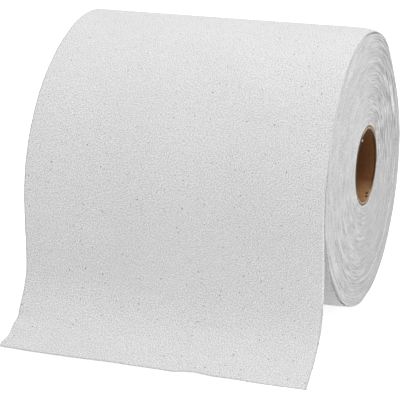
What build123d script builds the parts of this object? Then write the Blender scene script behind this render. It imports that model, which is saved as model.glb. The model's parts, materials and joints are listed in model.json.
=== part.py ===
# Paper towel roll: a hard-wound web of paper towel on a wound board core.
# The roll lies on its side on a table. Its free end comes over the front, hangs
# down and runs out on to the table a little in front of the roll.
# The origin is the middle of the core's bore. +X runs along the roll, -Y is the
# front and +Z is up. All sizes are in millimetres and degrees.

import os
from math import cos, radians, sin, sqrt

from build123d import *

# Driving sizes of the roll
towel_width = 203.0
roll_radius = 94.2
flat_spot_width = 26.0

# Driving sizes of the core
bore_radius = 25.4
core_wall = 3.0
ply_count = 2
ply_line_width = 0.3
ply_line_depth = 0.5

# The outer turns have slipped a little along the roll, past the inner ones
slip_radius = 79.0
slip = 0.6

# On each end face the turns lie a little proud and a little back by bands, which
# wind from the core to the rim
band_half_turns = 9
band_depth = 0.6
band_margin = 1.6
band_start_angle = -30.0

# The free end of the web. A slope is the angle below the horizontal at which
# the paper runs to the front: where it is seated, where it leaves the roll, half
# way round its bulge, where it hangs, half way round its bend, and at its foot.
sheet_thickness = 0.4
seat_cover = 0.2
seat_slope = 25.0
leave_slope = 40.0
bulge_slope = 62.0
hang_slope = 84.0
bend_slope = 53.0
foot_slope = 22.0
bulge_radius = 96.0
bend_radius = 30.0

# Straight runs in the bulge and in the bend open them out at the left edge. At the
# right edge, where they are short, the paper keeps close to the roll.
left_bulge_run = 18.0
right_bulge_run = 1.0
left_bend_run = 12.0
right_bend_run = 1.0
left_foot_length = 13.0

# Places that follow from the driving sizes
core_radius = bore_radius + core_wall
floor_z = -sqrt(roll_radius**2 - (flat_spot_width / 2) ** 2)
inner_turns_left = -towel_width / 2
outer_turns_left = inner_turns_left + slip
seat_radius = roll_radius - seat_cover - sheet_thickness


def run(slope):
    """The direction in which the paper runs to the front at this slope."""
    return Vector(-cos(radians(slope)), -sin(radians(slope)))


def out(slope):
    """The direction square to the paper at this slope, away from the roll."""
    return Vector(-sin(radians(slope)), cos(radians(slope)))


def extrude_ring(end_x, length, outer, inner, mode=Mode.ADD):
    """A plain ring about the roll's axis, from one end to the right, or left if negative."""
    with BuildSketch(Plane.YZ.offset(end_x)) as ring:
        Circle(outer)
        Circle(inner, mode=Mode.SUBTRACT)
    extrude(ring.sketch, amount=length, mode=mode)


def spiral(start, pitch):
    """Half circles struck from two centres in turn, each half a pitch wider."""
    here = start
    for _ in range(band_half_turns):
        there = -here - pitch / 2 if here > 0 else -here + pitch / 2
        ThreePointArc((here, 0), ((here + there) / 2, (here - there) / 2), (there, 0))
        here = there
    return here


def cut_band(face_x, floor_x):
    """The turns that lie back, cut into an end face as a spiral half a pitch wide."""
    start = core_radius + band_margin
    pitch = 2 * (roll_radius - band_margin - start) / (band_half_turns + 1)
    turned = (0, cos(radians(band_start_angle)), sin(radians(band_start_angle)))
    with BuildSketch(Plane((floor_x, 0, 0), x_dir=turned, z_dir=(1, 0, 0))) as band:
        with BuildLine():
            Line((start, 0), (start + pitch / 2, 0))
            inner_end = spiral(start, pitch)
            outer_end = spiral(start + pitch / 2, pitch)
            Line((inner_end, 0), (outer_end, 0))
        make_face()
    extrude(band.sketch, amount=face_x - floor_x, mode=Mode.SUBTRACT)


def bulge_and_bend(bulge_run, bend_run):
    """The way from the roll's axis to the free edge, less the hang and the foot."""
    bulge_turn = (out(hang_slope) - out(leave_slope)) * bulge_radius
    bend_turn = (out(hang_slope) - out(foot_slope)) * bend_radius
    straight = run(bulge_slope) * bulge_run + run(bend_slope) * bend_run
    return out(leave_slope) * seat_radius + bulge_turn + bend_turn + straight


def free_end_section(x, bulge_run, hang_length, bend_run, foot_length):
    """The free end cut across the roll's axis: its underside, with the paper on it."""
    with BuildSketch(Plane.YZ.offset(x)) as section:
        with BuildLine():
            line = JernArc(
                out(seat_slope) * seat_radius, run(seat_slope), seat_radius, leave_slope - seat_slope
            )
            line = JernArc(line @ 1, line % 1, bulge_radius, bulge_slope - leave_slope)
            line = Line(line @ 1, line @ 1 + line % 1 * bulge_run)
            line = JernArc(line @ 1, line % 1, bulge_radius, hang_slope - bulge_slope)
            line = Line(line @ 1, line @ 1 + line % 1 * hang_length)
            line = JernArc(line @ 1, line % 1, bend_radius, bend_slope - hang_slope)
            line = Line(line @ 1, line @ 1 + line % 1 * bend_run)
            line = JernArc(line @ 1, line % 1, bend_radius, foot_slope - bend_slope)
            Line(line @ 1, line @ 1 + line % 1 * foot_length)
            offset(amount=sheet_thickness, side=Side.RIGHT)
        make_face()
    return section.sketch


# The left edge hangs until its foot meets the table, which places the free edge
left_way = bulge_and_bend(left_bulge_run, left_bend_run) + run(foot_slope) * left_foot_length
left_hang_length = (left_way.Y - floor_z) / sin(radians(hang_slope))
free_edge = left_way + run(hang_slope) * left_hang_length

# The right edge hangs and runs out as far as it needs to end level with the left
right_way = free_edge - bulge_and_bend(right_bulge_run, right_bend_run)
hang_to_foot = run(hang_slope).cross(run(foot_slope)).Z
right_hang_length = right_way.cross(run(foot_slope)).Z / hang_to_foot
right_foot_length = run(hang_slope).cross(right_way).Z / hang_to_foot

# The core is a tube of board plies, which show as fine lines on its ends
with BuildPart() as core:
    extrude_ring(inner_turns_left, towel_width, core_radius, bore_radius)
    for line in range(1, ply_count):
        line_inner = bore_radius + line * core_wall / ply_count - ply_line_width / 2
        line_outer = line_inner + ply_line_width
        extrude_ring(inner_turns_left, ply_line_depth, line_outer, line_inner, Mode.SUBTRACT)
        extrude_ring(-inner_turns_left, -ply_line_depth, line_outer, line_inner, Mode.SUBTRACT)

# The web is one long sheet: its turns, wound tight, and its free end
with BuildPart() as towel_web:
    extrude_ring(inner_turns_left, towel_width, slip_radius, core_radius)
    extrude_ring(outer_turns_left, towel_width, roll_radius, slip_radius)
    split(bisect_by=Plane.XY.offset(floor_z), keep=Keep.TOP)
    cut_band(inner_turns_left, outer_turns_left + band_depth)
    cut_band(outer_turns_left + towel_width, -inner_turns_left - band_depth)
    left_edge = free_end_section(
        outer_turns_left, left_bulge_run, left_hang_length, left_bend_run, left_foot_length
    )
    right_edge = free_end_section(
        outer_turns_left + towel_width,
        right_bulge_run,
        right_hang_length,
        right_bend_run,
        right_foot_length,
    )
    loft([left_edge, right_edge], ruled=True)

os.makedirs("parts", exist_ok=True)
core.part.label = "core"
towel_web.part.label = "towel_web"
export_step(core.part, "parts/core.step")
export_step(towel_web.part, "parts/towel_web.step")
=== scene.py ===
"""Paper towel roll, lying on its side, with the free end of the web hanging over the front.

+X runs along the roll, -Y is the front and +Z is up. Sizes below are in millimetres and
degrees. A polar angle is measured from the top of the roll towards the front. A slope is
the angle below the horizontal at which the paper runs to the front. A place across the web
is a share of its width, from 0 at the left edge to 1 at the right.
"""

import json
import math
from functools import reduce

import bmesh
import bpy
import numpy as np
from mathutils import Matrix, Vector


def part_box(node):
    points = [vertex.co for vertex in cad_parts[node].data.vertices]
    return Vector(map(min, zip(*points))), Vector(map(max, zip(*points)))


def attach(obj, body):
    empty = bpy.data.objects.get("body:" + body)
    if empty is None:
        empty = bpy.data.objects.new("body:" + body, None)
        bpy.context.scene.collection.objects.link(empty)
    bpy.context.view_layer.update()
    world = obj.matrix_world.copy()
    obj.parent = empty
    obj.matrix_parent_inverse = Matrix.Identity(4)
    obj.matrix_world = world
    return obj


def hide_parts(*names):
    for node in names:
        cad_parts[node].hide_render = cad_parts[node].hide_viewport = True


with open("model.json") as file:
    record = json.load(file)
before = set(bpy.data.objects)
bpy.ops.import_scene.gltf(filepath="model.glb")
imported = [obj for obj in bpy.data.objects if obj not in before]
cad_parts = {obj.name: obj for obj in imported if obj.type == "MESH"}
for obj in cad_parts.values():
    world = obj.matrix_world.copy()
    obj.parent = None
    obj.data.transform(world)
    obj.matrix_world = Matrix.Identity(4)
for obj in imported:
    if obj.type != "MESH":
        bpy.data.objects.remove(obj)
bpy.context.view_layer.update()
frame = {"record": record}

MM = 0.001
SEED = 4

# The roll's own sizes. The frame's round faces are flat between their points, so the two
# outside radii are taken to a tenth of a millimetre.
mounts = {mount["name"]: mount for mount in frame["record"]["mounts"]}
WEB_WIDTH = mounts["core_bore"]["dims"]["length_mm"]
BORE_RADIUS = mounts["core_bore"]["dims"]["r_mm"]
FLOOR_Z = mounts["flat_spot"]["pos_m"][2] / MM
CORE_RADIUS, ROLL_RADIUS = (round(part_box(node)[1][2] / MM, 1) for node in ("core", "towel_web"))
HALF_WIDTH = WEB_WIDTH / 2

# The outer turns have slipped to the right: how far, and how soft the step is
SLIP, SLIP_SOFTNESS = 0.6, 0.2
# The ring from which they stand out has sagged: its radius, and how far below the axis it lies
SLIP_RADIUS, SLIP_SAG = 74.8, 2.0
# Beside the step both ends are raised a little: how far past it, how wide and how high
LIP_PLACE, LIP_WIDTH, LIP_HEIGHT = 0.7, 0.6, 0.45

# The outer turn, which the free end belongs to: its thickness, how far it winds out in a
# turn, where its inner end lies, and where its left and right edges leave the roll
SHEET_THICKNESS = 0.3
TURN_PITCH = 0.5
INNER_END = -330.0
LEAVE_LEFT, LEAVE_RIGHT = 40.0, 60.0
SHEET_LEFT = SLIP - HALF_WIDTH
# The paper's upper side stays this much more than its thickness above the table
SHEET_CLEARANCE = 0.02

# Slopes of the free end's two edges, at lengths from where each leaves the roll
TAIL_LEFT = (
    (20, 46.5), (39, 55.7), (59, 65.4), (79, 76.4), (98, 85.5), (118, 87.8), (138, 81.0),
    (145, 68.0), (152, 61.5), (160, 51.4), (167, 42.0), (182, 26.5), (197, 25.0),
)
TAIL_RIGHT = (
    (15, 62.0), (31, 72.3), (51, 84.1), (71, 89.6), (92, 81.0), (107, 74.7), (122, 59.1),
    (138, 33.6), (153, 27.0), (164, 27.0),
)
LEFT_LENGTH, RIGHT_LENGTH = TAIL_LEFT[-1][0], TAIL_RIGHT[-1][0]
# The left edge is creased near its foot: lengths, added slopes, and how far in it reaches
CREASES = (
    (163, 0.0), (166, 12.0), (169, 36.0), (172, 4.0), (176, -26.0), (180, 12.0), (185, 14.0),
    (188, -12.0), (192, -16.0), (197, 4.0),
)
CREASE_REACH = 10.0
# There its rim is turned under a little: lengths and depths, and how far in it reaches
TURNED_UNDER = ((156, 0.0), (165, 0.6), (172, 0.4), (178, 1.0), (187, 0.7), (194, 0.0))
UNDER_REACH = 1.6
# The foot spreads a little to each side
FOOT_LEFT, FOOT_RIGHT = -2.8, 2.05
# The free edge isn't cut straight: places across the web, and how far short of even it is
CUT = (
    (0, -1.8), (0.04, -1.0), (0.12, -1.1), (0.25, -0.7), (0.38, 0.15), (0.45, 0.0), (0.52, 0.1),
    (0.583, -0.1), (0.62, 1.2), (0.65, 1.9), (0.69, 1.0), (0.717, 0.6), (0.783, 0.8), (0.85, 0.0),
    (0.93, -0.1), (1, 0.0),
)
# Both long edges wander and are frayed a little: how far apart the bends are, and how deep.
# That fades out this far in from the edge.
WANDER, FRAY = (9.0, 0.10), (1.3, 0.07)
EDGE_REACH = 3.0

# One turn before the free end, the last turn stands off the roll at its right edge: polar
# angle, spread, how far it stands off and draws in, how far in that reaches, and how much
# more its edge is frayed there
LOOSE_AT, LOOSE_SPREAD = -236.0, 20.0
LOOSE_OUT, LOOSE_IN, LOOSE_REACH = 1.4, 0.8, 5.0
LOOSE_FRAY = 0.45

# The roll has settled a little flat in two places: polar angle, spread, and how deep
# it is at the left end and at the right end
FLATS = ((26.0, 22.0, 2.6, 0.3), (-26.0, 24.0, -2.4, 1.2))
# Turns further out than this have settled in full, and those at the core haven't at all
SETTLED_FROM = 92.0
# Where the outer edge of the right end is pressed in: polar angle, spread, depth, reach
PRESSED = ((-14.0, 28.0, 2.1, 3.5), (162.0, 14.0, 0.9, 9.0))
# High on the right end the outer turns have parted a little: polar angle, spread and depth,
# and how many turns in from the rim
PARTED_AT, PARTED_SPREAD, PARTED_DEPTH, PARTED_TURNS = -9.0, 12.0, 2.0, 1.2
# At the back, and under the free end, the outer turns lie further left: polar angle, spread
# and shift
WEAVE = ((-58.0, 26.0, -2.5), (-100.0, 75.0, -0.65), (97.0, 18.0, -1.1))

# The turns under the outer one: how far below it they end, and how far above the table
UNDER_SHEET, OVER_TABLE = 0.10, 0.55
# How far apart the turns of the end faces are wound, and how far out the middle ones stand
FACE_TURN, DOME = 0.55, 0.8
# They lie proud and back in bands: how many turns wide, and how deep
BANDS = ((1.0, 0.08), (3.1, 0.15), (11.0, 0.14))
# How much of that the end faces show, and how much more at the back and less at the front
BAND_SHARE, BAND_BACK = 0.75, 0.4

# The core's right end lies a little high and is pressed in a little: how far it lies to
# the back and up, the shares of its outer and inner width that are left, and how far that
# reaches along the roll and out into the turns
CORE_MOVED = (0.5, 1.85)
CORE_PRESSED = (0.955, 0.932)
CORE_REACH, CORE_FADE = 42.0, 30.0
# Across the wall of the core's ends: how far in from the outside, and how proud. The plies
# part where the board lies back, and the innermost ply begins at this depth.
CORE_END = (
    (0.02, 0.0), (0.45, 0.10), (0.75, 0.05), (0.9, -0.3), (1.05, 0.18), (1.6, 0.22), (2.0, 0.12),
    (2.15, -0.3), (2.3, 0.0), (2.85, 0.0), (3.0, -0.25),
)
INNER_PLY = 2.3
# The board's cut is uneven: how many degrees apart its bends are, and how deep
CORE_UNEVEN = (9.0, 0.12)
# Where the inner ply is torn at the right end: polar angle, spread, how far it is pushed in
# and how far it stands out
TORN = (
    (-147.0, 2.0, 0.5, 0.4), (-156.0, 2.4, 1.5, 0.2), (-169.0, 2.0, 0.8, 0.3),
    (27.0, 2.6, 1.5, 0.3),
)

# How finely the pieces are laid out: steps along the outer turn and along the free end,
# lines near each edge of the paper, where the even lines between them start and how many
# there are, places round the end faces and the core, and lines along the core
TURN_STEPS, TAIL_STEPS = 250, 190
EDGE_LINES = (0, 0.25, 0.6, 1.1, 1.8, 3.0)
EVEN_FROM, EVEN_LINES = 5.0, 57
FACE_SEGMENTS, CORE_SEGMENTS = 256, 240
CORE_LINES = (100.0, 90.0, 75.0, 60.0, 20.0, -20.0, -60.0)
# The random lines reach past the sheet's length, a full turn and the spiral's last turn
NOISE_LENGTH, NOISE_TURN, NOISE_PAST = 900.0, 400.0, 5
# Each random line has a few knots to spare
SPARE_KNOTS = 4
# The power that gives a bell curve a flat top
FLAT_TOP = 4
# Points closer together than this are one point, and edges shorter than this are none
WELD_WITHIN, DISSOLVE_WITHIN = 0.001, 0.0001
# Paper and board show an edge where they bend by more than this
PAPER_CREASE, BOARD_CREASE = 50.0, 35.0

# The camera, fitted to the photograph: how far it is turned to the left of straight ahead,
# raised from straight down, and rolled anticlockwise
CAMERA_PLACE = (341.76, -886.26, 318.88)
CAMERA_TURN, CAMERA_TILT, CAMERA_ROLL = 22.1561, 69.7009, -2.1086
CAMERA_LENS, CAMERA_SENSOR = 130.0, 36.0
CAMERA_NEAR, CAMERA_FAR = 10.0, 50000.0

# The light: strength of the world, and each lamp's place and power in watts
WORLD_LIGHT = 0.485
LAMP_SIZE = 1400.0
LAMPS = (
    ("lamp_back", (100.0, 350.0, 1600.0), 6.2),
    ("lamp_front", (600.0, -500.0, 1600.0), 12.8),
)
WHITE = (1.0, 1.0, 1.0)
# The floor: half its width, its colour, how white it looks to the camera, and how much light
# it gives the object itself
FLOOR_HALF = 6000.0
FLOOR_COLOR = (0.86, 0.86, 0.86)
FLOOR_GLOW, FLOOR_LIGHT = 0.70, 0.18


def smooth_step(t):
    """From 0 to 1 with level ends."""
    return t * t * (3 - 2 * t)


def smooth_noise(length, spacing, rng):
    """A smooth random line with values of about -1 to 1, one knot per spacing."""
    knots = rng.uniform(-1, 1, int(length / spacing) + SPARE_KNOTS)

    def at(where):
        u = np.asarray(where, float) / spacing
        i = np.clip(np.floor(u).astype(int), 0, len(knots) - 2)
        t = smooth_step(np.clip(u - i, 0, 1))
        return knots[i] * (1 - t) + knots[i + 1] * t

    return at


def new_object(name, data):
    """An object with this data, in the scene."""
    obj = bpy.data.objects.new(name, data)
    bpy.context.scene.collection.objects.link(obj)
    return obj


def new_mesh_object(name, points, faces, crease=None):
    """A mesh object from points in millimetres and lists of corner indices. It is smooth
    where it bends by less than the crease, or flat where none is given."""
    mesh = bpy.data.meshes.new(name)
    mesh.from_pydata((np.asarray(points) * MM).tolist(), [], faces)
    mesh.update()
    work = bmesh.new()
    work.from_mesh(mesh)
    bmesh.ops.remove_doubles(work, verts=work.verts, dist=WELD_WITHIN * MM)
    bmesh.ops.dissolve_degenerate(work, edges=work.edges, dist=DISSOLVE_WITHIN * MM)
    bmesh.ops.recalc_face_normals(work, faces=work.faces)
    work.to_mesh(mesh)
    work.free()
    if crease is not None:
        mesh.shade_smooth()
        mesh.set_sharp_from_angle(angle=math.radians(crease))
    return new_object(name, mesh)


def lay_out(mesh, name, place):
    """A UV map from one place for each point of the mesh."""
    layer = mesh.uv_layers.new(name=name)
    corners = np.zeros(len(mesh.loops), np.int32)
    mesh.loops.foreach_get("vertex_index", corners)
    layer.data.foreach_set("uv", place[corners].astype(np.float32).ravel())


def grid_faces(rows, columns, first=0, flip=False):
    """Quads of a grid of points that is stored row by row."""
    a = first + np.arange(rows - 1)[:, None] * columns + np.arange(columns - 1)[None, :]
    quads = np.stack([a, a + 1, a + columns + 1, a + columns], -1).reshape(-1, 4)
    return (quads[:, ::-1] if flip else quads).tolist()


def band_faces(here, there):
    """Quads between two closed rings of points."""
    return np.stack([here, np.roll(here, -1), np.roll(there, -1), there], -1).tolist()


def angles_round(count):
    """This many polar angles, evenly round the roll."""
    return np.arange(count) * 360 / count


def turned_from(polar, middle):
    """Degrees from one polar angle to another, the short way round."""
    return (np.asarray(polar, float) - middle + 180) % 360 - 180


def bell(polar, middle, spread, power=2):
    """1 at a polar angle, and less to each side."""
    return np.exp(-((turned_from(polar, middle) / spread) ** power))


def from_right(across):
    """How far in from the web's right edge a place across it is."""
    return (1 - np.asarray(across, float)) * WEB_WIDTH


def across_of(x):
    """The place across the web of a point of the outer turns."""
    return np.clip((np.asarray(x, float) - SHEET_LEFT) / WEB_WIDTH, 0, 1)


def settled(polar, across):
    """How far the roll has settled in, at a polar angle and a place across the web."""
    total = 0.0
    for middle, spread, left, right in FLATS:
        total = total + (left + (right - left) * across) * bell(polar, middle, spread)
    for middle, spread, depth, reach in PRESSED:
        total = total + depth * bell(polar, middle, spread) * np.exp(-from_right(across) / reach)
    return total


def weave(polar, radius):
    """How far the turns lie to the right of their place, more for the outer ones."""
    share = np.clip((np.asarray(radius, float) - CORE_RADIUS) / (ROLL_RADIUS - CORE_RADIUS), 0, 1)
    return sum(shift * bell(polar, at, spread) for at, spread, shift in WEAVE) * share**3


def on_roll(polar, radius, across, floor):
    """Points (y, z) of a turn of this radius, resting flat where it meets the floor."""
    share = np.clip((radius - CORE_RADIUS) / (SETTLED_FROM - CORE_RADIUS), 0, 1)
    r = radius - settled(polar, across) * share
    a = np.radians(polar)
    return -r * np.sin(a), np.maximum(r * np.cos(a), floor)


def with_core(x, y, z):
    """Points moved as the core's right end is, less and less further out in the turns."""
    r = np.hypot(y, z)
    share = smooth_step(np.clip((np.asarray(x, float) - HALF_WIDTH) / CORE_REACH + 1, 0, 1))
    share = share * np.clip(1 - (r - CORE_RADIUS) / CORE_FADE, 0, 1) ** 2
    outer, inner = CORE_PRESSED
    depth = np.clip((CORE_RADIUS - r) / (CORE_RADIUS - BORE_RADIUS), 0, 1)
    inwards = np.minimum(r, CORE_RADIUS) * (1 - outer + (outer - inner) * depth)
    left_over = 1 - share * inwards / r
    return y * left_over + share * CORE_MOVED[0], z * left_over + share * CORE_MOVED[1]


def slope_line(knots):
    """The slope at a length, on a smooth line through the knots that never overshoots them."""
    lengths, slopes = np.array(knots, float).T
    rises = np.diff(slopes) / np.diff(lengths)
    rates = np.zeros(len(lengths))
    rates[0], rates[-1] = rises[0], rises[-1]
    for i, (before, after) in enumerate(zip(rises[:-1], rises[1:]), 1):
        if before * after > 0:
            rates[i] = 2 * before * after / (before + after)

    def at(length):
        i = np.clip(np.searchsorted(lengths, length) - 1, 0, len(lengths) - 2)
        span = lengths[i + 1] - lengths[i]
        t = np.clip((length - lengths[i]) / span, 0, 1)
        level = slopes[i] + (slopes[i + 1] - slopes[i]) * smooth_step(t)
        return level + span * (rates[i] * (t**3 - 2 * t**2 + t) + rates[i + 1] * (t**3 - t**2))

    return at


def turn_radius(polar):
    """Outside radius of the outer turn, which winds out by one pitch a turn."""
    return ROLL_RADIUS - TURN_PITCH * (LEAVE_RIGHT - polar) / 360


def leaving(across):
    """Polar angle, point and slope at which the paper leaves the roll."""
    polar = LEAVE_LEFT + (LEAVE_RIGHT - LEAVE_LEFT) * across
    step = 0.5
    ends = [on_roll(p, turn_radius(p), across, FLOOR_Z) for p in (polar - step, polar)]
    dy, dz = ends[1][0] - ends[0][0], ends[1][1] - ends[0][1]
    return polar, ends[1], math.degrees(math.atan2(-dz, -dy))


def loosened(polar, across):
    """0 to 1: how much the outer turn is loose, one turn before the free end."""
    fade = np.exp(-from_right(across) / LOOSE_REACH)
    return fade * bell(polar, LOOSE_AT, LOOSE_SPREAD, power=FLAT_TOP)


def turn_path(across, polar):
    """The outer turn at one place across the web, up to a polar angle: x shift, y and z."""
    angles = np.linspace(INNER_END, polar, TURN_STEPS)
    loose = loosened(angles, across)
    y, z = on_roll(angles, turn_radius(angles) + LOOSE_OUT * loose, across, FLOOR_Z)
    return np.stack([weave(angles, ROLL_RADIUS) - LOOSE_IN * loose, y, z], 1)


def tail_path(across, start, slope):
    """The free end at one place across the web, from where it starts: x shift, y and z."""
    left, right = (slope_line(((0, slope), *tail)) for tail in (TAIL_LEFT, TAIL_RIGHT))
    length = LEFT_LENGTH + (RIGHT_LENGTH - LEFT_LENGTH) * across
    u = np.linspace(0, 1 - np.interp(across, *zip(*CUT)) / length, TAIL_STEPS)
    middle = (u[1:] + u[:-1]) / 2
    slopes = (1 - across) * left(middle * LEFT_LENGTH) + across * right(middle * RIGHT_LENGTH)
    crease = np.interp(middle * LEFT_LENGTH, *zip(*CREASES))
    slopes = np.radians(slopes + crease * np.exp(-across * WEB_WIDTH / CREASE_REACH))
    steps = np.diff(u) * length
    y = start[0] - np.cumsum(np.cos(slopes) * steps)
    z = start[1] - np.cumsum(np.sin(slopes) * steps)
    spread = FOOT_LEFT * (1 - across) * u[1:] ** 4 + FOOT_RIGHT * across * u[1:] ** 2
    return np.stack([spread, y, z], 1)


def sheet_path(across):
    """The outer turn and the free end at one place across the web."""
    polar, start, slope = leaving(across)
    path = np.concatenate([turn_path(across, polar), tail_path(across, start, slope)])
    path[:, 0] += SHEET_LEFT + across * WEB_WIDTH
    path[:, 2] = np.maximum(path[:, 2], FLOOR_Z + SHEET_THICKNESS + SHEET_CLEARANCE)
    return path


def sheet_lines():
    """Places across the web at which the sheet is laid out, close together at its edges."""
    edge = np.array(EDGE_LINES)
    even = np.linspace(EVEN_FROM, WEB_WIDTH - EVEN_FROM, EVEN_LINES)
    return np.concatenate([edge, even, WEB_WIDTH - edge[::-1]]) / WEB_WIDTH


def sheet_normals(grid):
    """Directions square to the sheet, away from the roll."""
    n = np.cross(np.gradient(grid, axis=1), np.gradient(grid, axis=0))
    return n / np.linalg.norm(n, axis=2, keepdims=True)


def turned_under(grid, lines):
    """The sheet with its left rim turned under near the foot."""
    tail = np.linspace(0, LEFT_LENGTH, TAIL_STEPS)[1:]
    depth = np.concatenate([np.zeros(TURN_STEPS), np.interp(tail, *zip(*TURNED_UNDER))])
    near = np.clip(1 - lines * WEB_WIDTH / UNDER_REACH, 0, 1) ** 2
    return grid - sheet_normals(grid) * np.outer(near, depth)[:, :, None]


def lengths_along(grid):
    """The length along the middle of the paper from its inner end to each point."""
    steps = np.linalg.norm(np.diff(grid[len(grid) // 2], axis=0), axis=1)
    return np.concatenate([[0], np.cumsum(steps)])


def fray_edges(grid, lines, length, rng):
    """Moves the sheet's long edges in and out a little, the right one most where it is loose."""
    wander = [smooth_noise(NOISE_LENGTH, WANDER[0], rng) for _ in range(2)]
    fray = [smooth_noise(NOISE_LENGTH, FRAY[0], rng) for _ in range(2)]
    ragged = np.zeros(len(length))
    angles = np.linspace(INNER_END, LEAVE_RIGHT, TURN_STEPS)
    ragged[:TURN_STEPS] = LOOSE_FRAY * loosened(angles, 1.0)
    sides = ((1, lines, FRAY[1]), (-1, 1 - lines, FRAY[1] + ragged))
    for (inwards, from_edge, depth), bend, thread in zip(sides, wander, fray):
        moved = WANDER[1] * bend(length) + depth * thread(length)
        reach = np.exp(-from_edge * WEB_WIDTH / EDGE_REACH)
        grid[:, :, 0] += inwards * np.outer(reach, moved)


def make_sheet(rng):
    """The outer turn with the free end as a thin closed sheet, and its length in metres."""
    lines = sheet_lines()
    grid = turned_under(np.array([sheet_path(across) for across in lines]), lines)
    length = lengths_along(grid)
    fray_edges(grid, lines, length, rng)
    under = grid - sheet_normals(grid) * SHEET_THICKNESS
    columns, rows, _ = grid.shape
    half = columns * rows
    corners = np.arange(half).reshape(columns, rows)
    rim = np.concatenate([corners[0], corners[1:, -1], corners[-1, -2::-1], corners[-2:0:-1, 0]])
    faces = grid_faces(columns, rows) + grid_faces(columns, rows, half, flip=True)
    points = np.concatenate([grid.reshape(-1, 3), under.reshape(-1, 3)])
    faces += band_faces(rim, rim + half)
    sheet = new_mesh_object("outer_turn_and_free_end", points, faces, PAPER_CREASE)
    place = np.stack([np.repeat(lines * WEB_WIDTH, rows), np.tile(length, columns)], 1) * MM
    lay_out(sheet.data, "paper", np.concatenate([place, place]))
    return sheet, float(length[-1]) * MM


def face_height(turns, rng):
    """How proud the end face stands at each place along the spiral, counted in turns."""
    lines = [smooth_noise(turns + NOISE_PAST, width, rng) for width, _ in BANDS]

    def at(place):
        return sum(depth * line(place) for line, (_, depth) in zip(lines, BANDS))

    return at


def face_shape(side, polar, r, bands):
    """How far out from the middle an end face stands, with this much from its bands."""
    past = r - SLIP_RADIUS + SLIP_SAG * np.cos(np.radians(polar))
    step = SLIP / (1 + np.exp(-past / SLIP_SOFTNESS))
    lip = LIP_HEIGHT * np.exp(-(((past - LIP_PLACE) / LIP_WIDTH) ** 2))
    dome = DOME * np.sin(math.pi * np.clip((r - CORE_RADIUS) / (ROLL_RADIUS - CORE_RADIUS), 0, 1))
    share = BAND_SHARE - BAND_BACK * np.sin(np.radians(polar))
    return HALF_WIDTH + side * step + lip + dome + share * bands


def spiral_faces(first, turns):
    """Faces between the turns of a spiral of points, and the points of its last turn."""
    p = first + np.arange(turns * FACE_SEGMENTS)
    after = p + FACE_SEGMENTS
    faces = np.stack([p, after, after + 1, p + 1], 1).tolist()
    # The spiral's last face is a triangle
    faces[-1].pop(2)
    return faces, after[-FACE_SEGMENTS:]


def spiral_end(side, first, rng):
    """One end face: a spiral of turns from the core to the rim, closed by full rings. Gives
    its points, its faces and the points at its rim."""
    polar = angles_round(FACE_SEGMENTS)
    rim = turn_radius((polar - INNER_END) % 360 + INNER_END) - SHEET_THICKNESS - UNDER_SHEET
    count = (rim - CORE_RADIUS) / FACE_TURN
    turns = int(math.ceil(count.max())) + 1
    height = face_height(turns, rng)
    rings = []
    for k in range(turns + 1):
        place = k + polar / 360
        r = np.clip(CORE_RADIUS + (place - 1) * FACE_TURN, CORE_RADIUS, rim)
        fade = np.clip(place - 1, 0, 1) * np.clip(count + 1 - place, 0, 1)
        outward = face_shape(side, polar, r, fade * height(place))
        if side > 0:
            parted = PARTED_DEPTH * bell(polar, PARTED_AT, PARTED_SPREAD, power=FLAT_TOP)
            outward = outward - parted * (np.abs(count - PARTED_TURNS - place) < 0.5)
        x = side * outward + weave(polar, r)
        y, z = with_core(x, *on_roll(polar, r, across_of(x), FLOOR_Z + OVER_TABLE))
        rings.append(np.stack([x, y, z], 1))
    return np.concatenate(rings), *spiral_faces(first, turns)


def make_wound_body(rng):
    """The turns under the outer one: a spiral on each end face and a plain outside."""
    left, left_faces, left_rim = spiral_end(-1, 0, rng)
    right, right_faces, right_rim = spiral_end(1, len(left), rng)
    faces = left_faces + right_faces + band_faces(left_rim, right_rim)
    return new_mesh_object("wound_turns", np.concatenate([left, right]), faces, PAPER_CREASE)


def core_end(side, polar, wobble):
    """Rings across the wall of one end of the core, from the outside in: x and radius."""
    rings = []
    for (depth, proud), bend in zip(CORE_END, wobble):
        x = side * (HALF_WIDTH + proud + CORE_UNEVEN[1] * bend(polar))
        r = np.full(len(polar), CORE_RADIUS - depth)
        if side > 0 and depth >= INNER_PLY:
            for at, spread, pushed, out in TORN:
                there = bell(polar, at, spread)
                r, x = r - pushed * there, x + out * there
        rings.append((x, r))
    return rings


def make_core(rng):
    """The board tube, with its plies stepping in and out a little on both ends."""
    polar = angles_round(CORE_SEGMENTS)
    wobble = [smooth_noise(NOISE_TURN, CORE_UNEVEN[0], rng) for _ in CORE_END]
    rings = core_end(1, polar, wobble)
    rings += [(x, BORE_RADIUS) for x in CORE_LINES]
    rings += core_end(-1, polar, wobble)[::-1]
    rings += [(x, CORE_RADIUS - CORE_END[0][0]) for x in CORE_LINES[::-1]]
    points, faces = [], []
    sine, cosine = np.sin(np.radians(polar)), np.cos(np.radians(polar))
    for k, (x, r) in enumerate(rings):
        y, z = with_core(x, -r * sine, r * cosine)
        points.append(np.stack(np.broadcast_arrays(x, y, z), 1))
        here, there = (ring * CORE_SEGMENTS for ring in (k, (k + 1) % len(rings)))
        faces += band_faces(here + np.arange(CORE_SEGMENTS), there + np.arange(CORE_SEGMENTS))
    core = new_mesh_object("core_tube", np.concatenate(points), faces, BOARD_CREASE)
    wall = [(np.mean(r) - BORE_RADIUS) / (CORE_RADIUS - BORE_RADIUS) for _, r in rings]
    wall = np.repeat(wall, CORE_SEGMENTS)
    lay_out(core.data, "wall", np.stack([wall, wall], 1))
    return core


# Where a node that mixes has its two colours and its result
MIX_FIRST, MIX_SECOND, MIX_RESULT = 6, 7, 2


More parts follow.
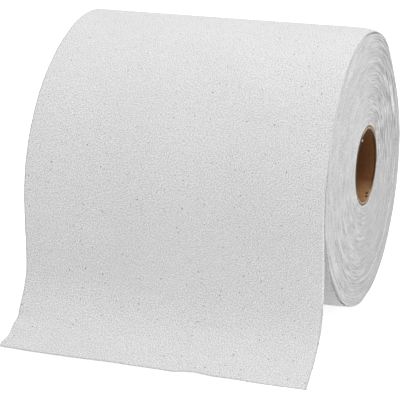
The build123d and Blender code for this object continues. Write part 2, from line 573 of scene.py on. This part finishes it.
class Nodes:
    """A short way to write the nodes of a material or a world."""

    def __init__(self, owner, output="OutputMaterial"):
        owner.use_nodes = True
        self.tree = owner.node_tree
        self.tree.nodes.clear()
        self.output = self.add(output)

    def add(self, kind, inputs=(), **settings):
        """A node. Each input is a value, a colour or the socket that it comes from."""
        node = self.tree.nodes.new("ShaderNode" + kind)
        for key, value in settings.items():
            setattr(node, key, value)
        for key, value in dict(inputs).items():
            socket = node.inputs[key]
            if isinstance(value, bpy.types.NodeSocket):
                self.tree.links.new(value, socket)
            elif socket.type == "RGBA":
                socket.default_value = (*value, 1)
            else:
                socket.default_value = value
        return node

    def show(self, shader):
        """Makes a shader node the surface of the material or the world."""
        self.tree.links.new(shader.outputs[0], self.output.inputs["Surface"])

    def math(self, operation, *values):
        return self.add("Math", enumerate(values), operation=operation).outputs[0]

    def plus(self, *values):
        return reduce(lambda a, b: self.math("ADD", a, b), values)

    def times(self, *values):
        return reduce(lambda a, b: self.math("MULTIPLY", a, b), values)

    def minus(self, value, other):
        return self.math("SUBTRACT", value, other)

    def absolute(self, value):
        return self.math("ABSOLUTE", value)

    def radius(self, y, z):
        return self.math("SQRT", self.plus(self.times(y, y), self.times(z, z)))

    def around(self, y, z):
        """Radius, and how much of it is up and to the back, from -1 to 1."""
        radius = self.radius(y, z)
        return radius, self.math("DIVIDE", z, radius), self.math("DIVIDE", y, radius)

    def remap(self, value, low, high, to_low, to_high):
        """The value taken from one span to another, and held at its ends."""
        spans = {"From Min": low, "From Max": high, "To Min": to_low, "To Max": to_high}
        return self.add("MapRange", {"Value": value, **spans}).outputs[0]

    def swing(self, noise, depth, spread=0.2):
        """Noise, most of which lies within the spread of 0.5, as -depth to depth."""
        return self.remap(noise, 0.5 - spread, 0.5 + spread, -depth, depth)

    def split(self, vector):
        return self.add("SeparateXYZ", {"Vector": vector}).outputs

    def join(self, *values):
        return self.add("CombineXYZ", enumerate(values)).outputs[0]

    def stretched(self, vector, scale):
        return self.add("Mapping", {"Vector": vector, "Scale": scale}).outputs[0]

    def noise(self, vector, scale=1.0, detail=2.0, roughness=0.5):
        inputs = {"Vector": vector, "Scale": scale, "Detail": detail, "Roughness": roughness}
        return self.add("TexNoise", inputs).outputs[0]

    def mix(self, factor, first, second):
        """From the first colour to the second one."""
        inputs = {0: factor, MIX_FIRST: first, MIX_SECOND: second}
        return self.add("Mix", inputs, data_type="RGBA").outputs[MIX_RESULT]

    def scaled(self, color, factor):
        return self.add("VectorMath", {0: color, "Scale": factor}, operation="SCALE").outputs[0]

    def matt(self, color, height, relief, finish):
        """Makes the surface matt, with a fine relief of this strength and depth."""
        strength, depth = relief
        bump = self.add("Bump", {"Height": height, "Strength": strength, "Distance": depth * MM})
        inputs = {"Base Color": color, "Normal": bump.outputs[0], **finish}
        self.show(self.add("BsdfPrincipled", inputs))

    def white(self, kind, strength):
        """A shader of white light."""
        return self.add(kind, {"Color": WHITE, "Strength": strength}).outputs[0]

    def show_white(self, lit, white):
        """Shows one shader to the camera, also by reflection or through glass. The other
        lights the object."""
        rays = self.add("LightPath").outputs
        seen = self.math("MAXIMUM", rays["Is Camera Ray"], rays["Is Glossy Ray"])
        seen = self.math("MAXIMUM", seen, rays["Is Transmission Ray"])
        self.show(self.add("MixShader", {0: seen, 1: lit, 2: white}))


# Paper: its colour, the strength and depth of its relief, and its finish
PAPER = (0.770, 0.770, 0.770)
PAPER_RELIEF = (0.5, 0.12)
PAPER_FINISH = {"Roughness": 0.95, "Specular IOR Level": 0.15}
# The paper's mottle: how many grains per metre, how much detail, and how deep in tone
MOTTLE = ((1500.0, 0.0, 0.255), (160.0, 2.0, 0.02), (22.0, 1.0, 0.012))
# Dark specks and fainter fibres: how many places per metre each way, size, and the share of
# the places that has one
SPECKS, FIBRES = (75.0, 0.40, 0.45), (125.0, 0.31, 0.50)
# Their colour, how faint the faintest specks are, and how much fainter fibres are than specks
SPECK = (0.05, 0.045, 0.04)
FAINTEST_SPECK, FIBRE_DEPTH = 0.35, 0.6
# Fibres are drawn out along the paper
FIBRE_STRETCH = (1.0, 0.7, 1.0)
# Creping runs across the paper: how many ridges per metre across and along, how rough they
# are, and how strong
CREPE_STRETCH, CREPE_ROUGHNESS, CREPE_SHARE = (220.0, 1500.0, 1500.0), 0.6, 0.8
# The free end's cut edges are painted paler or darker: a painted highlight along the right edge,
# and painted shade along the left edge and the foot. How far in from the edge that begins and is
# full, and how much
RIGHT_EDGE_LIGHT_AND_SHADE, LEFT_EDGE_SHADE, FOOT_EDGE_SHADE = (1.3, 0.4, 0.20), (1.0, 0.5, -0.26), (1.0, 0.5, -0.24)
# The right edge is painted paler, as a highlight, where it hangs past the roll, and painted darker,
# as shade, below it: lengths before the foot, and how much darker than paler
HIGHLIGHT_FROM, EDGE_SHADE_FROM, EDGE_SHADE_SHARE = (150.0, 110.0), (68.0, 60.0), 2.0


def paper_grain(m, place):
    """The fine grain that every paper surface shares, and its tone. Place is in metres."""
    noises = [m.noise(place, per_metre, detail) for per_metre, detail, _ in MOTTLE]
    swings = [m.swing(noise, depth) for noise, (_, _, depth) in zip(noises, MOTTLE)]
    return noises[0], m.plus(*swings, 1.0)


def specks(m, place, per_metre, size, share):
    """Above 0 on sparse specks of about this size, more on some specks than on others."""
    inputs = {"Vector": place, "Scale": per_metre, "Randomness": 1.0}
    cells = m.add("TexVoronoi", inputs, voronoi_dimensions="2D").outputs
    near = m.math("LESS_THAN", cells["Distance"], size * MM * per_metre)
    chance, depth, _ = m.add("SeparateColor", {"Color": cells["Color"]}).outputs
    chosen = m.math("LESS_THAN", chance, share)
    return m.times(near, chosen, m.remap(depth, 0.0, 1.0, FAINTEST_SPECK, 1.0))


def painted_edge_light_and_shade(m, across, along, length):
    """The painted highlight and painted shade along the paper's cut edges."""

    def beside(away, begins, full, amount):
        return m.remap(away, begins * MM, full * MM, 0.0, amount)

    before_foot = m.minus(length, along)
    right = beside(m.minus(WEB_WIDTH * MM, across), *RIGHT_EDGE_LIGHT_AND_SHADE)
    paler = beside(before_foot, *HIGHLIGHT_FROM, 1.0)
    darker = beside(before_foot, *EDGE_SHADE_FROM, EDGE_SHADE_SHARE)
    dark = m.math("MINIMUM", beside(across, *LEFT_EDGE_SHADE), beside(before_foot, *FOOT_EDGE_SHADE))
    return m.plus(m.times(right, m.minus(paler, darker)), dark)


def paper_material(length):
    """Towel paper laid out flat, of this length in metres."""
    material = bpy.data.materials.new("towel_paper")
    m = Nodes(material)
    place = m.add("UVMap", uv_map="paper").outputs[0]
    across, along, _ = m.split(place)
    fine, tone = paper_grain(m, place)
    # The cut edges carry painted highlight and painted shade
    tone = m.times(tone, m.plus(painted_edge_light_and_shade(m, across, along, length), 1.0))
    fibres = specks(m, m.stretched(place, FIBRE_STRETCH), *FIBRES)
    speck = m.math("MAXIMUM", specks(m, place, *SPECKS), m.times(fibres, FIBRE_DEPTH))
    color = m.mix(speck, m.scaled(PAPER, tone), SPECK)
    crepe = m.noise(m.stretched(place, CREPE_STRETCH), roughness=CREPE_ROUGHNESS)
    m.matt(color, m.plus(fine, m.times(crepe, CREPE_SHARE)), PAPER_RELIEF, PAPER_FINISH)
    return material


# On the end faces, up is 1 at the top and -1 at the bottom, and back is 1 at the back and -1
# at the front. Four numbers are two places, in up, back or radius, and the values there.

# Rings on the end faces: how many per metre of radius, how broken up, and how deep in tone
# at the top and bottom and at the sides
RINGS = (
    (1250.0, 3.0, 0.21, 0.18), (440.0, 5.0, 0.035, 0.16), (240.0, 4.0, 0.0, 0.02),
    (150.0, 1.5, 0.02, 0.02),
)
# Where the sides begin, by how far a place is to the back or the front
BESIDE = (0.4, 0.9, 0.0, 1.0)
# Even fine rings come and go with the radius, by noise: how far apart they are, how many
# groups of them per metre, and two values of the noise with the depth in tone there
EVEN_RINGS, EVEN_GROUPS, EVEN_DEPTH = 1.28, 110.0, (0.42, 0.62, 0.0, 0.05)
# The side of the end faces on which the rings are plainest, as a polar angle, and how plain they
# are square to it and there. This is painted light and shade on the turns' edges, plainest in line
# with where the light comes from.
RINGS_LIT_FROM, PLAIN = -34.0, (0.6, 1.05)
# They are plainer still at the back, but not low down, and most in the outer turns
BEHIND, BEHIND_UP = (0.2, 1.0, 0.0, 1.0), (-0.4, 0.1, 0.1, 1.0)
BEHIND_RADIUS = (70.0 * MM, 88.0 * MM, 1.5, 2.7)
# The last turns at the rim are darker, as painted shade of the gap under the outer turn
RIM_PAINTED_SHADE = (92.4 * MM, 93.2 * MM, 0.0, -0.07)
# Where the outer turns begin to stand out there is a fine line, plainer in the lower half: painted
# shade, a painted highlight where the step's edge catches the light, and painted shade again.
# Places, widths and tones
SLIP_STEP_PAINTED = ((-0.9, 0.6, -0.10), (0.2, 0.6, 0.09), (1.3, 0.5, -0.06))
SLIP_STEP_PAINTED_UP, SLIP_STEP_PAINTED_CORE = (-0.3, 0.3, 1.0, 0.4), 0.3
# Painted shade on the end faces: their tone from front to back, darker to the back, and how much
# more or less it is at the top or the bottom, at the front and at the back, as painted light at the
# top and painted shade at the bottom
SIDE_PAINTED_SHADE, TOP_PAINTED_LIGHT_AND_SHADE = (-0.4, 0.7, 0.906, 0.808), (0.0, 0.5, 0.055, 0.01)
# The paper is painted paler next to the core, as a painted highlight ring: how far out, and how
# much
CORE_PAINTED_HIGHLIGHT = (0.0, 2.0 * MM, 1.16, 1.0)
# How much of the paper's grain the end faces show
GRAIN_ON_ENDS = 0.75
# Their relief: its strength and depth, and the shares of grain and rings in it
TURNS_RELIEF = (0.6, 0.2)
GRAIN_SHARE, RING_SHARE = 0.5, 4.0


def from_core(m, x, y, z):
    """Distance in metres from the outside of the core, as its end lies on this side."""
    right = m.math("GREATER_THAN", x, 0.0)
    y, z = (m.minus(at, m.times(right, moved * MM)) for at, moved in zip((y, z), CORE_MOVED))
    pressed = m.times(right, CORE_RADIUS * (1 - CORE_PRESSED[0]) * MM)
    return m.minus(m.radius(y, z), m.minus(CORE_RADIUS * MM, pressed))


def ring_tones(m, radius, up, back):
    """Tone of the rings, by noise drawn out round the roll and by even rings."""
    beside = m.remap(m.absolute(back), *BESIDE)
    tones = []
    for per_metre, arcs, top_depth, side_depth in RINGS:
        place = m.join(m.times(radius, per_metre), m.times(up, arcs), m.times(back, arcs))
        ring = m.swing(m.noise(place, detail=1.0), 1.0)
        tones.append(m.times(ring, m.remap(beside, 0.0, 1.0, top_depth, side_depth)))
    group = m.noise(m.join(m.times(radius, EVEN_GROUPS)), detail=0.0)
    even = m.math("SINE", m.times(radius, 2 * math.pi / (EVEN_RINGS * MM)))
    return m.plus(*tones, m.times(even, m.remap(group, *EVEN_DEPTH)))


def ring_light_and_shade(m, radius, up, back):
    """How plain the rings are at each place, as painted light and shade on the turns' edges that is
    set by where the light comes from.
    """
    angle = math.radians(RINGS_LIT_FROM)
    along = m.minus(m.times(up, math.cos(angle)), m.times(back, math.sin(angle)))
    plain = m.remap(m.times(along, along), 0.0, 1.0, *PLAIN)
    behind = m.times(m.remap(back, *BEHIND), m.remap(up, *BEHIND_UP))
    behind = m.times(behind, m.remap(radius, *BEHIND_RADIUS))
    return m.times(plain, m.plus(behind, 1.0))


def slip_step_light_and_shade(m, radius, up):
    """Painted highlight and shade of the fine line where the outer turns begin to stand out."""
    sagged = m.plus(radius, m.times(up, SLIP_SAG * MM))
    tones = []
    for at, width, amount in SLIP_STEP_PAINTED:
        away = m.absolute(m.minus(sagged, (SLIP_RADIUS + at) * MM))
        tones.append(m.remap(away, SLIP_STEP_PAINTED_CORE * width * MM, width * MM, amount, 0.0))
    return m.times(m.plus(*tones), m.remap(up, *SLIP_STEP_PAINTED_UP))


def turns_material():
    """The edges of the turns on the end faces, with painted light and shade, and plain paper on the
    outside.
    """
    material = bpy.data.materials.new("towel_turns")
    m = Nodes(material)
    place = m.add("TexCoord").outputs["Object"]
    fine, tone = paper_grain(m, place)
    x, y, z = m.split(place)
    radius, up, back = m.around(y, z)
    # Rings with painted light and shade, plainest in line with the light
    lines = m.times(ring_tones(m, radius, up, back), ring_light_and_shade(m, radius, up, back))
    # Painted shade at the rim, and the painted highlight and shade of the slip line
    lines = m.plus(lines, m.remap(radius, *RIM_PAINTED_SHADE), slip_step_light_and_shade(m, radius, up))
    # Painted shade from front to back, with painted light at the top and shade at the bottom
    side = m.plus(m.remap(back, *SIDE_PAINTED_SHADE), m.times(up, m.remap(back, *TOP_PAINTED_LIGHT_AND_SHADE)))
    # Painted highlight ring next to the core
    shade = m.times(side, m.remap(from_core(m, x, y, z), *CORE_PAINTED_HIGHLIGHT), m.plus(lines, 1.0))
    grain = m.plus(m.times(tone, GRAIN_ON_ENDS), 1 - GRAIN_ON_ENDS)
    height = m.plus(m.times(fine, GRAIN_SHARE), m.times(lines, RING_SHARE))
    m.matt(m.scaled(PAPER, m.times(grain, shade)), height, TURNS_RELIEF, PAPER_FINISH)
    return material


# Board: the strength and depth of its relief, and its finish
BOARD_RELIEF = (0.5, 0.2)
BOARD_FINISH = {"Roughness": 0.85, "Specular IOR Level": 0.25}
# Colours across the core's wall, from the bore at 0 to the outside at 1. Four numbers below
# are two places, in x, up, back or across the wall, and the values there.
WALL = (
    (0.00, (0.20, 0.082, 0.030)), (0.03, (0.20, 0.082, 0.030)), (0.05, (0.07, 0.032, 0.012)),
    (0.26, (0.08, 0.040, 0.016)), (0.32, (0.44, 0.36, 0.27)), (0.66, (0.50, 0.42, 0.33)),
    (0.72, (0.24, 0.135, 0.062)), (1.00, (0.36, 0.22, 0.12)),
)
# Low down, the face of the bore and a little of the inner ply's edge are lighter: painted light,
# where light falls in through the opening
BORE_PAINTED_LIGHT = (0.44, 0.235, 0.105)
LOW = (-0.62, -0.90, 0.0, 1.0)
BORE_FACE = (0.03, 0.05, 1.0, 0.0)
INNER_EDGE = (0.26, 0.30, 0.3, 0.0)
# At its sides the wall shows a dark inner half and a tan outer one: colour and where across
# the wall each begins and ends, how soft that is, and where the sides are, up or down
DARK_BOARD, TAN_BOARD = (0.07, 0.034, 0.013), (0.34, 0.21, 0.115)
SIDE_PLIES = ((DARK_BOARD, 0.03, 0.50), (TAN_BOARD, 0.54, 1.0))
PLY_SOFTNESS = 0.04
AT_SIDES = (0.5, 0.9, 0.9, 0.0)
# At the back the bore's edge is darker: painted shade on the wall at the bore's mouth
BORE_EDGE_SHADE = (0.03, 0.012, 0.004)
NEAR_END = (100.5 * MM, 101.0 * MM, 0.0, 1.0)
NEAR_BORE = (0.03, 0.05, 0.9, 0.0)
AT_BACK = (0.4, 0.8, 0.0, 1.0)
# At the front the whole wall is dark, but for its foot
AT_FRONT = (-0.42, -0.25, 0.9, 0.0)
ABOVE_FOOT = (-0.45, -0.2, 0.0, 1.0)
ON_WALL = (0.03, 0.06, 0.0, 1.0)
# Marks on the core's right end: place, size and colour. Each fades out from a share of its size.
# The dark marks are painted shade on the torn inner ply.
TORN_SHADE_MARK, PALE_MARK = (0.02, 0.008, 0.003), (0.50, 0.41, 0.29)
MARKS = (
    ((99.8, 8.0, -20.8), 1.1, TORN_SHADE_MARK), ((100.7, 4.1, -21.7), 1.1, TORN_SHADE_MARK),
    ((101.5, 9.5, -18.6), 1.0, PALE_MARK), ((101.5, 13.6, -18.6), 0.8, PALE_MARK),
    ((101.5, 5.5, -21.9), 0.8, PALE_MARK), ((101.5, -9.8, 22.0), 1.4, (1.0, 0.97, 0.88)),
)
MARK_CORE = 0.7
# The board's fibres, drawn out round it: how many per metre, how rough they are, how deep in
# tone, and how far their noise spreads
BOARD_FIBRES, FIBRE_ROUGHNESS = (900.0, 260.0, 260.0), 0.6
FIBRE_TONE, FIBRE_SPREAD = 0.22, 0.25
# Its blotches: how many per metre, and how deep in tone
BLOTCHES, BLOTCH_TONE = 120.0, 0.06


def wall_colors(m, wall):
    """The board's colours in plies, with a lighter grey-brown ply in the middle of the wall."""
    ramp = m.add("ValToRGB", {"Fac": wall})
    elements = ramp.color_ramp.elements
    while len(elements) < len(WALL):
        elements.new(0.5)
    for element, (at, color) in zip(elements, WALL):
        element.position = at
        element.color = (*color, 1)
    return ramp.outputs[0]


def board_layers(m, place, wall):
    """What lies over the plies' colours, from the lowest layer up: how much, and its colour."""
    x, y, z = m.split(place)
    _, up, back = m.around(y, z)
    inside = m.math("MAXIMUM", m.remap(wall, *BORE_FACE), m.remap(wall, *INNER_EDGE))
    # Painted light low in the bore
    yield m.times(m.remap(up, *LOW), inside), BORE_PAINTED_LIGHT
    for color, first, last in SIDE_PLIES:
        begun = m.remap(wall, first, first + PLY_SOFTNESS, 0.0, 1.0)
        ended = m.remap(wall, last, last + PLY_SOFTNESS, 1.0, 0.0)
        yield m.times(m.remap(m.absolute(up), *AT_SIDES), begun, ended), color
    # Painted shade at the bore's edge at the back
    yield m.times(m.remap(x, *NEAR_END), m.remap(wall, *NEAR_BORE), m.remap(back, *AT_BACK)), BORE_EDGE_SHADE
    front = m.times(m.remap(back, *AT_FRONT), m.remap(up, *ABOVE_FOOT))
    yield m.times(front, m.remap(wall, *ON_WALL)), DARK_BOARD
    # Marks, the dark ones painted shade
    for centre, size, color in MARKS:
        inputs = {0: place, 1: [at * MM for at in centre]}
        away = m.add("VectorMath", inputs, operation="DISTANCE").outputs["Value"]
        yield m.remap(away, MARK_CORE * size * MM, size * MM, 1.0, 0.0), color


def core_material():
    """Brown board in plies, with painted light low in the bore, painted shade at the bore's edge at
    the back, and marks.
    """
    material = bpy.data.materials.new("core_board")
    m = Nodes(material)
    place = m.add("TexCoord").outputs["Object"]
    wall = m.split(m.add("UVMap", uv_map="wall").outputs[0])[0]
    board = wall_colors(m, wall)
    for amount, color in board_layers(m, place, wall):
        board = m.mix(amount, board, color)
    fibre = m.noise(m.stretched(place, BOARD_FIBRES), detail=3.0, roughness=FIBRE_ROUGHNESS)
    tone = m.swing(fibre, FIBRE_TONE, FIBRE_SPREAD)
    tone = m.plus(tone, m.swing(m.noise(place, BLOTCHES), BLOTCH_TONE))
    m.matt(m.scaled(board, m.plus(tone, 1.0)), fibre, BOARD_RELIEF, BOARD_FINISH)
    return material


def floor_material():
    """White to the camera, with the object's shadow kept."""
    material = bpy.data.materials.new("floor_white")
    m = Nodes(material)
    diffuse = m.add("BsdfDiffuse", {"Color": FLOOR_COLOR}).outputs[0]
    lit, white = (
        m.add("AddShader", {0: diffuse, 1: m.white("Emission", strength)}).outputs[0]
        for strength in (FLOOR_LIGHT, FLOOR_GLOW)
    )
    m.show_white(lit, white)
    return material


def make_floor():
    """The table, as a wide plain floor."""
    h = FLOOR_HALF
    points = [(x, y, FLOOR_Z) for x, y in ((-h, -h), (h, -h), (h, h), (-h, h))]
    floor = new_mesh_object("floor", points, [(0, 1, 2, 3)])
    floor.data.materials.append(floor_material())


def make_world():
    """Soft light from all round, which the camera sees as white."""
    world = bpy.data.worlds.new("studio")
    bpy.context.scene.world = world
    m = Nodes(world, "OutputWorld")
    m.show_white(m.white("Background", WORLD_LIGHT), m.white("Background", 1.0))


def make_lamp(name, place, power):
    """A square lamp, pointed at the middle of the roll."""
    lamp = bpy.data.lights.new(name, "AREA")
    lamp.shape = "SQUARE"
    lamp.size = LAMP_SIZE * MM
    lamp.energy = power
    obj = new_object(name, lamp)
    obj.location = Vector(place) * MM
    obj.rotation_mode = "QUATERNION"
    obj.rotation_quaternion = (-Vector(place)).to_track_quat("-Z", "Y")


def make_camera():
    """The camera, where the photograph was taken from."""
    data = bpy.data.cameras.new("camera")
    data.lens = CAMERA_LENS
    data.sensor_width = CAMERA_SENSOR
    data.clip_start, data.clip_end = CAMERA_NEAR * MM, CAMERA_FAR * MM
    camera = new_object("camera", data)
    place = Matrix.Translation(Vector(CAMERA_PLACE) * MM)
    for angle, axis in ((CAMERA_TURN, "Z"), (CAMERA_TILT, "X"), (CAMERA_ROLL, "Z")):
        place = place @ Matrix.Rotation(math.radians(angle), 4, axis)
    camera.matrix_world = place
    bpy.context.scene.camera = camera


def main():
    """The roll, the floor, the light and the camera."""
    bpy.context.scene.view_settings.view_transform = "Standard"
    rng = np.random.default_rng(SEED)
    sheet, length = make_sheet(rng)
    body = make_wound_body(rng)
    core = make_core(rng)
    for piece, material, node, slot in (
        (sheet, paper_material(length), "towel_web", "towel_paper"),
        (body, turns_material(), "towel_web", "towel_paper"),
        (core, core_material(), "core", "core_board"),
    ):
        piece.data.materials.append(material)
        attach(piece, "root")
        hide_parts(node)

    make_floor()
    make_world()
    for lamp in LAMPS:
        make_lamp(*lamp)
    make_camera()


main()
